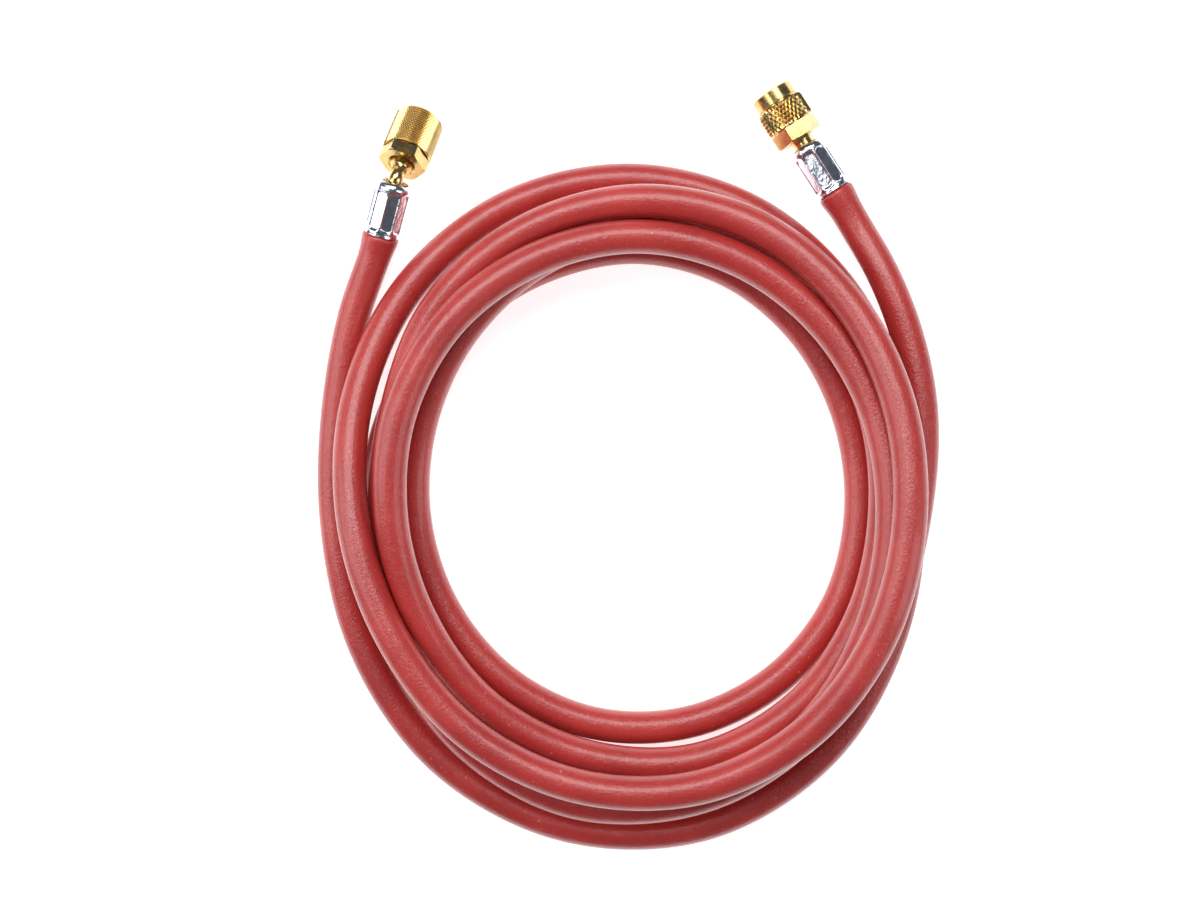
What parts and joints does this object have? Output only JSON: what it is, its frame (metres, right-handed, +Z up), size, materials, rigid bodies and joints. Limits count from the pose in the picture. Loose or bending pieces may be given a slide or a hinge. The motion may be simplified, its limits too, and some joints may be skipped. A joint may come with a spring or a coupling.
{
  "type": "refrigerant charging hose",
  "caption": "Flexible rubber hose lying in a loose coil, with a crimped ferrule and a knurled brass swivel nut on each end, one end on an elbow.",
  "frame": {"origin": "middle of the whole part's footprint, on the floor it lies on", "axes": "+Z up; +Y from the coil towards its two ends, which is upwards in the picture; +X to the picture's right, towards the straight end"},
  "size_m": [0.2316, 0.2878, 0.0554],
  "materials": {
    "hose_rubber": "satin, fine leathery grain",
    "ferrule_steel": "bright plated",
    "stem_brass": "bright",
    "nut_brass": "bright, knurled",
    "gasket_rubber": "matt"
  },
  "bodies": {
    "hose": {"hose": "hose_rubber", "left_ferrule": "ferrule_steel", "right_ferrule": "ferrule_steel", "left_stem": "stem_brass", "right_stem": "stem_brass", "left_gasket": "gasket_rubber", "right_gasket": "gasket_rubber"},
    "left_nut": {"left_nut": "nut_brass"},
    "right_nut": {"right_nut": "nut_brass"}
  },
  "joints": [
    {"name": "left_nut_swivel", "type": "hinge", "parent": "hose", "child": "left_nut", "pos_m": [-0.08361, 0.11087, 0.01754], "axis": [0.2684, 0.8578, -0.4383], "continuous": true},
    {"name": "right_nut_swivel", "type": "hinge", "parent": "hose", "child": "right_nut", "pos_m": [0.06617, 0.12227, 0.0094], "axis": [-0.5446, 0.8387, 0], "continuous": true}
  ]
}
